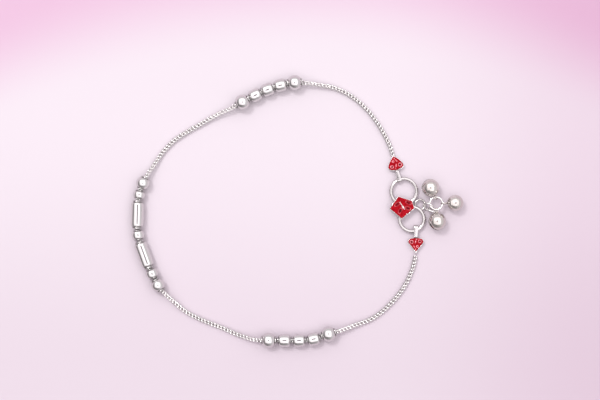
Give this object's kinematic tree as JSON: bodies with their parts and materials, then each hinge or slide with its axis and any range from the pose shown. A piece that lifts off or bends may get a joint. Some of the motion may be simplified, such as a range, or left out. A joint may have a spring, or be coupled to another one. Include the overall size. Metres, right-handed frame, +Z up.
{
  "type": "payal anklet",
  "caption": "Silver anklet chain with groups of hollow beads, a red enamelled medallion between two heart-shaped ends, and small bells on jump rings, lying open in a loop.",
  "frame": {"origin": "centre of the bounding box, on the surface that the anklet lies on", "axes": "+Z up from that surface, +X across the loop towards the medallion and its bells"},
  "size_m": [0.1004, 0.0821, 0.0054],
  "materials": {
    "chain_silver": "polished drawn silver links, fine dark lines between them",
    "bead_silver": "polished hollow silver beads, light tarnish at the collars",
    "cast_silver": "polished cast and soldered silver",
    "wire_silver": "polished drawn silver wire",
    "bell_silver": "polished pressed silver with a raised seam",
    "pellet_steel": "plain steel shot",
    "red_enamel": "glossy red enamel over raised swirls"
  },
  "bodies": {
    "root": {"chain_top_right": "chain_silver", "chain_top_left": "chain_silver", "chain_bottom_left": "chain_silver", "chain_bottom_right": "chain_silver", "bead_top_1": "bead_silver", "bead_top_2": "bead_silver", "bead_top_3": "bead_silver", "bead_top_4": "bead_silver", "bead_top_5": "bead_silver", "bead_side_1": "bead_silver", "bead_side_2": "bead_silver", "bead_side_3": "bead_silver", "bead_side_4": "bead_silver", "bead_side_5": "bead_silver", "bead_side_6": "bead_silver", "bead_side_7": "bead_silver", "bead_bottom_1": "bead_silver", "bead_bottom_2": "bead_silver", "bead_bottom_3": "bead_silver", "bead_bottom_4": "bead_silver", "bead_bottom_5": "bead_silver", "medallion": "cast_silver", "heart_upper": "cast_silver", "heart_lower": "cast_silver", "jump_ring_1": "wire_silver", "jump_ring_2": "wire_silver", "jump_ring_3": "wire_silver", "bell_1": "bell_silver", "bell_2": "bell_silver", "bell_3": "bell_silver", "bell_pellet_1": "pellet_steel", "bell_pellet_2": "pellet_steel", "bell_pellet_3": "pellet_steel", "medallion_enamel": "red_enamel", "heart_upper_enamel": "red_enamel", "heart_lower_enamel": "red_enamel"}
  },
  "joints": []
}
